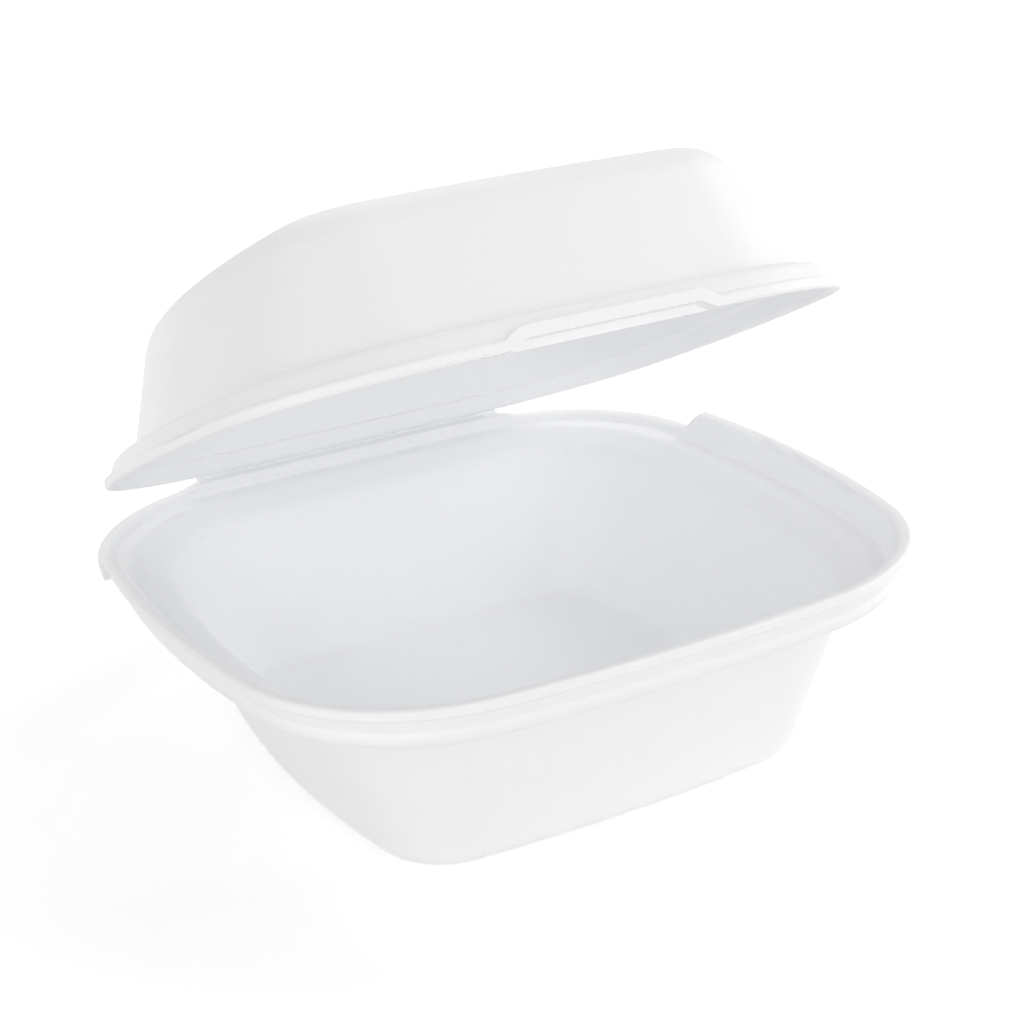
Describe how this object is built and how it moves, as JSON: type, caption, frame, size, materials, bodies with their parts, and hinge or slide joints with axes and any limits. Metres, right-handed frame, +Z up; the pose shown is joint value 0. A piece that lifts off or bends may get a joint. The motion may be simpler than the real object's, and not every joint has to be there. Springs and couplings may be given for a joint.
{
  "type": "foam clamshell container",
  "caption": "Hinged take-away clamshell in one sheet of white foam: a deep tapered tray with a snap rim and a domed lid with a thumb notch, joined by a pressed crease.",
  "frame": {"origin": "centre of the tray's flat bottom, on its underside", "axes": "+Z up, +Y towards the hinge crease at the back, +X to the right as seen from the front"},
  "size_m": [0.1502, 0.1553, 0.1222],
  "materials": {
    "foam": "matt white expanded foam with a soft sheen"
  },
  "bodies": {
    "tray": {"tray": "foam"},
    "lid": {"lid": "foam"}
  },
  "joints": [
    {"name": "lid_hinge", "type": "hinge", "parent": "tray", "child": "lid", "pos_m": [0, 0.07745, 0.0423], "axis": [-1, 0, 0], "range_deg": [-22.5, 157.5]}
  ]
}
